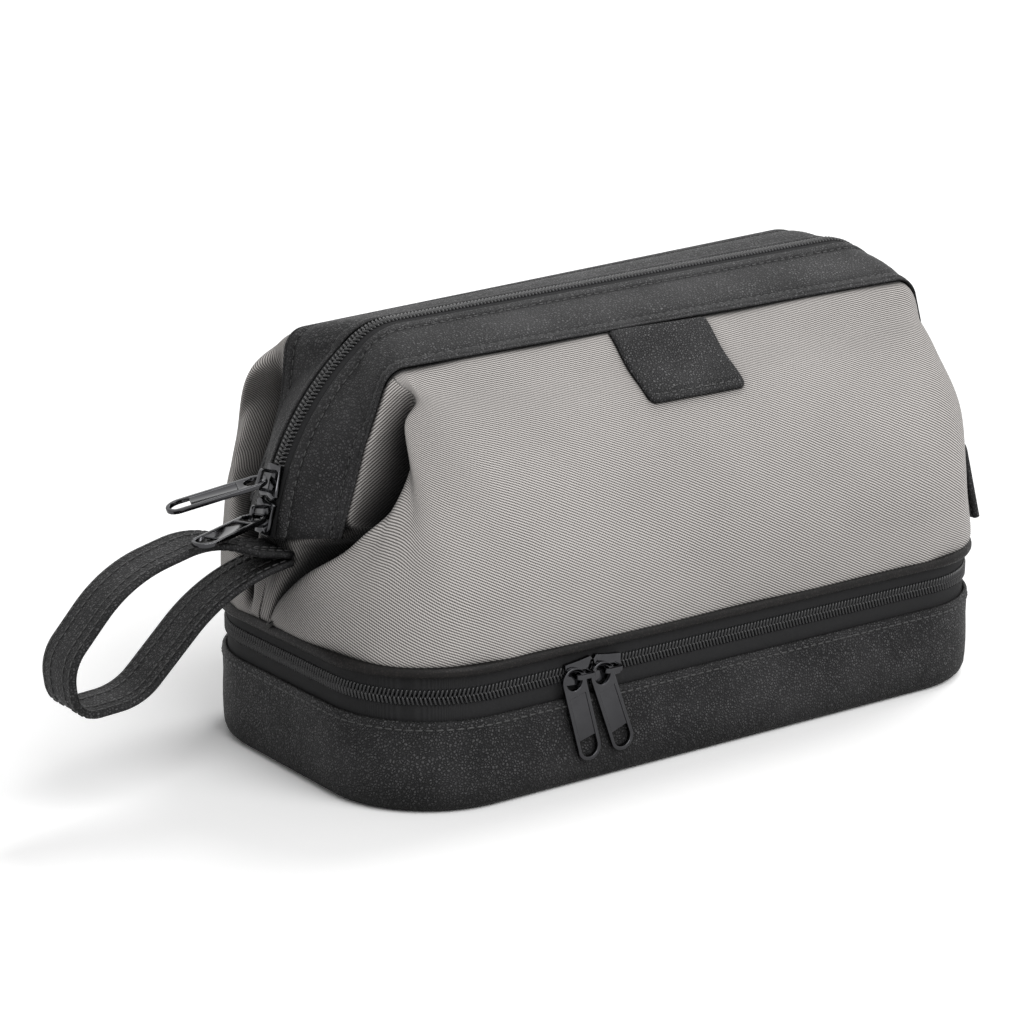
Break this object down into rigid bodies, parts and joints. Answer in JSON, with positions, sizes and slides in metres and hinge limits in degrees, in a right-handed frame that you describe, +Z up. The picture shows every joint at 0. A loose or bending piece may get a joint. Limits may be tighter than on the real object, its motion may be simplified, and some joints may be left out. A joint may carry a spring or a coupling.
{
  "type": "toiletry bag",
  "caption": "Zipped toiletry bag of grey cloth with a black leather lower tray, leather mouth bands, paired zip sliders with pulls, a wrist strap and an end tab.",
  "frame": {"origin": "middle of the tray's underside, on the table", "axes": "+X along the bag from the wrist strap to the end tab, +Y from the front with the label patch to the rear, +Z up"},
  "size_m": [0.3695, 0.1401, 0.1525],
  "materials": {
    "fabric": "fine grey twill weave",
    "leather": "black pebbled grain, soft sheen",
    "piping": "dark brown-black, smooth",
    "base": "black coated cloth",
    "board": "stiffening board",
    "lining": "plain dark lining",
    "zip_tape": "black herringbone tape",
    "zip_coil": "black zip teeth",
    "hardware": "polished black",
    "wire": "spring wire"
  },
  "bodies": {
    "bottom_tray": {"tray_wall": "leather", "tray_floor": "base", "tray_board": "board", "tray_lining": "lining", "lower_zip_tape_bottom": "zip_tape", "lower_zip_coil_bottom": "zip_coil", "lower_zip_stops": "zip_coil"},
    "upper_bag": {"waist_piping": "piping", "divider_board": "board", "divider_lining": "lining", "front_panel": "fabric", "rear_panel": "fabric", "front_lining": "lining", "rear_lining": "lining", "lower_zip_tape_top": "zip_tape", "lower_zip_coil_top": "zip_coil", "rear_hinge_strip": "zip_tape", "top_zip_stop_left": "zip_coil", "top_zip_stop_right": "zip_coil"},
    "front_mouth": {"front_band": "leather", "front_frame_wire": "wire", "top_zip_tape_front": "zip_tape", "top_zip_coil_front": "zip_coil", "label_patch": "leather"},
    "rear_mouth": {"rear_band": "leather", "rear_frame_wire": "wire", "top_zip_tape_rear": "zip_tape", "top_zip_coil_rear": "zip_coil"},
    "top_slider_lower": {"top_slider_lower": "hardware"},
    "top_slider_upper": {"top_slider_upper": "hardware"},
    "lower_slider_left": {"lower_slider_left": "hardware"},
    "lower_slider_right": {"lower_slider_right": "hardware"},
    "top_pull_upper": {"top_pull_upper": "hardware"},
    "top_pull_lower": {"top_pull_lower": "hardware"},
    "lower_pull_left": {"lower_pull_left": "hardware"},
    "lower_pull_right": {"lower_pull_right": "hardware"},
    "wrist_strap": {"wrist_strap": "leather"},
    "end_tab": {"end_tab": "leather"}
  },
  "joints": [
    {"name": "bag_tilt", "type": "hinge", "parent": "bottom_tray", "child": "upper_bag", "pos_m": [0, 0.0647, 0.0387], "axis": [-1, 0, 0], "range_deg": [0, 115], "deforming": ["lower_zip_tape_top", "lower_zip_coil_top", "rear_hinge_strip"]},
    {"name": "front_mouth_open", "type": "hinge", "parent": "upper_bag", "child": "front_mouth", "pos_m": [0, -0.0053, 0.0815], "axis": [1, 0, 0], "range_deg": [0, 40], "deforming": ["front_panel", "front_lining", "top_zip_tape_front", "top_zip_coil_front"]},
    {"name": "rear_mouth_open", "type": "hinge", "parent": "upper_bag", "child": "rear_mouth", "pos_m": [0, 0.0053, 0.0815], "axis": [-1, 0, 0], "range_deg": [0, 40], "deforming": ["rear_panel", "rear_lining", "top_zip_tape_rear", "top_zip_coil_rear"]},
    {"name": "top_slider_lower_travel", "type": "hinge", "parent": "upper_bag", "child": "top_slider_lower", "pos_m": [-0.05201, 0, 0.07084], "axis": [0, 1, 0], "range_deg": [0, 12]},
    {"name": "top_slider_upper_travel", "type": "hinge", "parent": "top_slider_lower", "child": "top_slider_upper", "pos_m": [-0.05201, 0, 0.07084], "axis": [0, 1, 0], "range_deg": [0, 15]},
    {"name": "top_pull_upper_lift", "type": "hinge", "parent": "top_slider_upper", "child": "top_pull_upper", "pos_m": [-0.13739, 0, 0.09988], "axis": [0, 1, 0], "range_deg": [0, 90]},
    {"name": "top_pull_lower_lift", "type": "hinge", "parent": "top_slider_lower", "child": "top_pull_lower", "pos_m": [-0.14045, 0, 0.08847], "axis": [0, 1, 0], "range_deg": [0, 50]},
    {"name": "lower_slider_left_travel", "type": "slide", "parent": "bottom_tray", "child": "lower_slider_left", "axis": [-1, 0, 0], "range_m": [0, 0.024], "deforming": ["lower_zip_coil_bottom"]},
    {"name": "lower_slider_right_travel", "type": "slide", "parent": "bottom_tray", "child": "lower_slider_right", "axis": [1, 0, 0], "range_m": [0, 0.137]},
    {"name": "lower_pull_left_lift", "type": "hinge", "parent": "lower_slider_left", "child": "lower_pull_left", "pos_m": [-0.06545, -0.0679, 0.0406], "axis": [-1, 0, 0], "range_deg": [0, 30]},
    {"name": "lower_pull_right_lift", "type": "hinge", "parent": "lower_slider_right", "child": "lower_pull_right", "pos_m": [-0.05415, -0.0679, 0.0406], "axis": [-1, 0, 0], "range_deg": [0, 30]},
    {"name": "wrist_strap_swing", "type": "hinge", "parent": "upper_bag", "child": "wrist_strap", "pos_m": [-0.1333, 0, 0.0752], "axis": [0, -1, 0], "range_deg": [0, 20]},
    {"name": "end_tab_lift", "type": "hinge", "parent": "upper_bag", "child": "end_tab", "pos_m": [0.1334, 0, 0.073], "axis": [0, 1, 0], "range_deg": [-35, 0]}
  ]
}
